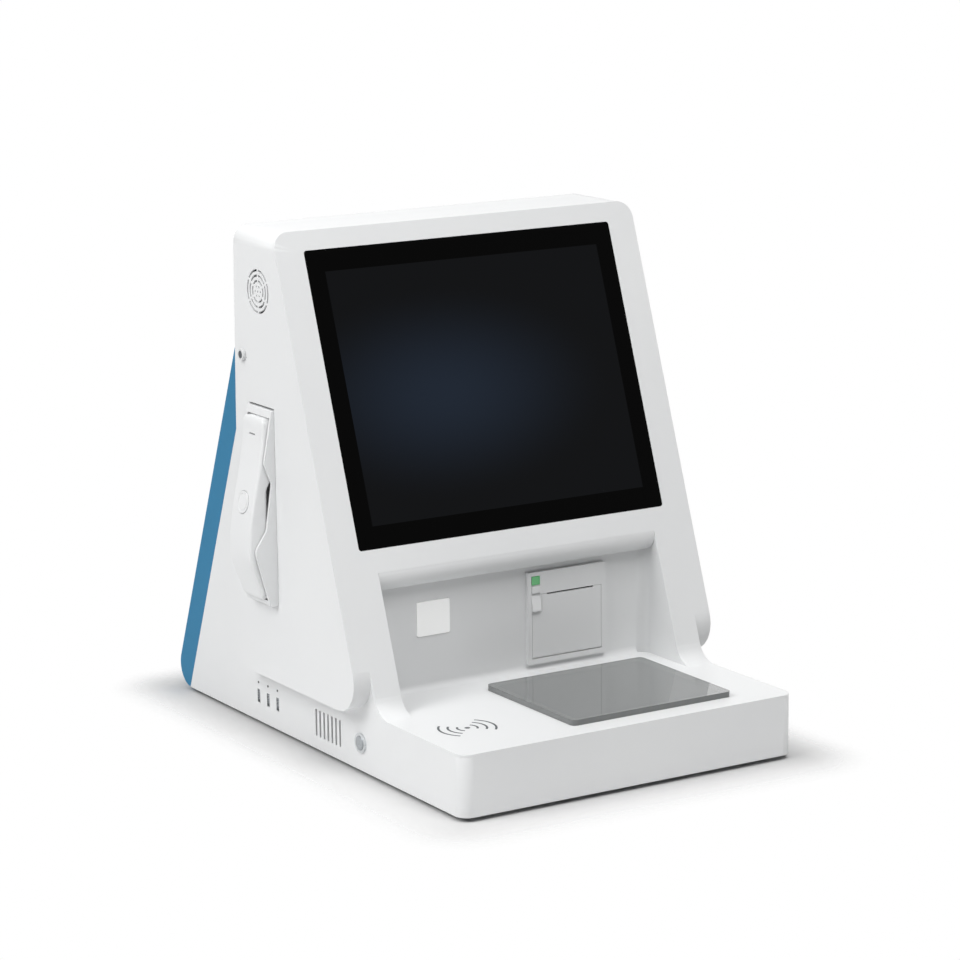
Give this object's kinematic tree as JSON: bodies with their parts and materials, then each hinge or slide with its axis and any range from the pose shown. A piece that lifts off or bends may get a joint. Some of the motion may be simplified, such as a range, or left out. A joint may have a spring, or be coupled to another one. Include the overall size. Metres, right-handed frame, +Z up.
{
  "type": "visitor management kiosk",
  "caption": "Countertop visitor kiosk: leaning touch screen over a deck with a document window, card zone, code window and ticket printer, with a side handset and hinged rear cover.",
  "frame": {"origin": "middle of the box's underside, on the surface that the feet stand on", "axes": "+X across to the right of the screen, +Y from the deck's front to the rear cover, +Z up"},
  "size_m": [0.478, 0.614, 0.552],
  "materials": {
    "white_abs": "satin moulded white",
    "cover_blue": "satin moulded blue",
    "black_glass": "glossy, black border behind",
    "smoked_glass": "smoked and polished",
    "white_diffuser": "milky window",
    "steel": "zinc plated or brushed",
    "dark_steel": "dark coated steel",
    "display": "display module in its black case",
    "dark_plastic": "matt black",
    "board": "printed circuit board",
    "lamp_green": "clear green lens",
    "paper": "thermal paper",
    "rubber": "matt black"
  },
  "bodies": {
    "kiosk": {"base_tray": "white_abs", "front_cover": "white_abs", "alcove_liner": "white_abs", "side_cover_left": "white_abs", "side_cover_right": "white_abs", "hood": "white_abs", "printer_bezel": "white_abs", "handset_cradle": "white_abs", "touch_glass": "black_glass", "scanner_glass": "smoked_glass", "code_window": "white_diffuser", "bottom_plate": "steel", "base_screws": "steel", "hinge_brackets": "steel", "hinge_pins": "steel", "screen_frame": "steel", "usb_sockets": "steel", "power_ring": "steel", "power_supply": "steel", "board_standoffs": "steel", "lock_barrel": "dark_steel", "scanner_camera": "dark_steel", "print_head": "dark_steel", "lcd_panel": "display", "scanner_tray": "dark_plastic", "code_engine": "dark_plastic", "printer_chassis": "dark_plastic", "fan_frame": "dark_plastic", "port_lamps": "dark_plastic", "mains_inlet": "dark_plastic", "card_antenna": "board", "usb_board": "board", "main_board": "board", "printer_lamp": "lamp_green", "rubber_feet": "rubber"},
    "rear_cover": {"rear_door": "cover_blue", "door_strike": "steel"},
    "lock": {"lock_plug": "steel", "lock_cam": "steel"},
    "fan": {"fan_rotor": "dark_plastic"},
    "power_switch": {"power_button": "steel"},
    "feed_button": {"feed_key": "white_abs"},
    "door_lever": {"release_lever": "white_abs"},
    "ticket_door": {"printer_door": "white_abs"},
    "platen": {"platen_roller": "rubber"},
    "roll": {"paper_roll": "paper"},
    "handset": {"handset_shell": "white_abs", "earpiece": "dark_plastic", "mouthpiece": "dark_plastic"},
    "talk_key": {"talk_button": "white_abs"}
  },
  "joints": [
    {"name": "rear_cover_hinge", "type": "hinge", "parent": "kiosk", "child": "rear_cover", "pos_m": [0.0155, 0.29101, 0.012], "axis": [-1, 0, 0], "range_deg": [0, 60]},
    {"name": "lock_turn", "type": "hinge", "parent": "kiosk", "child": "lock", "pos_m": [-0.1945, 0.09401, 0.41605], "axis": [1, 0, 0], "range_deg": [0, 90]},
    {"name": "fan_spin", "type": "hinge", "parent": "kiosk", "child": "fan", "pos_m": [-0.1995, 0.05803, 0.48753], "axis": [1, 0, 0], "continuous": true},
    {"name": "power_press", "type": "slide", "parent": "kiosk", "child": "power_switch", "axis": [1, 0, 0], "range_m": [0, 0.002], "stiffness_N_per_m": 800, "springref_m": -0.002},
    {"name": "feed_press", "type": "slide", "parent": "kiosk", "child": "feed_button", "axis": [0, 1, 0], "range_m": [0, 0.001], "stiffness_N_per_m": 500, "springref_m": -0.001},
    {"name": "lever_swing", "type": "hinge", "parent": "kiosk", "child": "door_lever", "pos_m": [0.0437, -0.07949, 0.154], "axis": [-1, 0, 0], "range_deg": [0, 22], "stiffness_Nm_per_rad": 0.01, "springref_deg": -5.73},
    {"name": "ticket_door_hinge", "type": "hinge", "parent": "kiosk", "child": "ticket_door", "pos_m": [0.0832, -0.07949, 0.0867], "axis": [1, 0, 0], "range_deg": [0, 85]},
    {"name": "platen_spin", "type": "hinge", "parent": "ticket_door", "child": "platen", "pos_m": [0.0872, -0.06999, 0.1485], "axis": [1, 0, 0], "continuous": true},
    {"name": "roll_spin", "type": "hinge", "parent": "kiosk", "child": "roll", "pos_m": [0.0872, -0.05199, 0.112], "axis": [1, 0, 0], "continuous": true},
    {"name": "handset_lift", "type": "slide", "parent": "kiosk", "child": "handset", "axis": [-1, 0, 0], "range_m": [0, 0.15]},
    {"name": "talk_press", "type": "slide", "parent": "handset", "child": "talk_key", "axis": [0.9811, 0, -0.1933], "range_m": [0, 0.0015], "stiffness_N_per_m": 600, "springref_m": -0.0015}
  ],
  "couplings": [
    {"joint": "roll_spin", "follows": "platen_spin", "ratio": -0.225}
  ]
}
